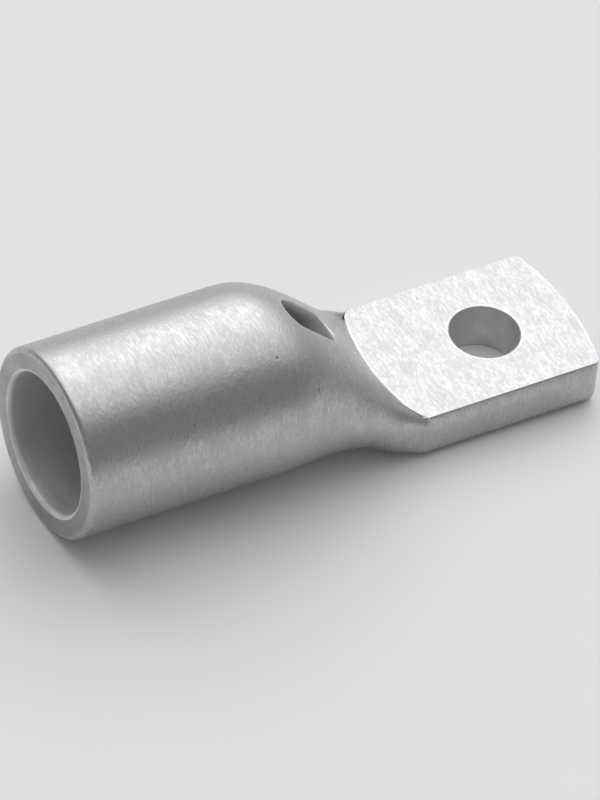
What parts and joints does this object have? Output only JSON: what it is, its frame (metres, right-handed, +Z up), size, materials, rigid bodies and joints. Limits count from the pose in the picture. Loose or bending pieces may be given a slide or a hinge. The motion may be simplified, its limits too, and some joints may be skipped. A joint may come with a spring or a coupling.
{
  "type": "tubular cable lug",
  "caption": "Tubular cable lug: a round crimp barrel pressed down through a sloping shoulder, with a sight hole, into a flat palm with a bolt hole.",
  "frame": {"origin": "centre of the bolt hole on the palm's contact face", "axes": "+X along the barrel's axis from the mouth towards the palm's end, +Z up from the contact face, +Y across the palm"},
  "size_m": [0.089, 0.029, 0.029],
  "materials": {
    "tin_plate": "satin tin plate over copper, finely tumbled"
  },
  "bodies": {
    "root": {"lug": "tin_plate"}
  },
  "joints": []
}
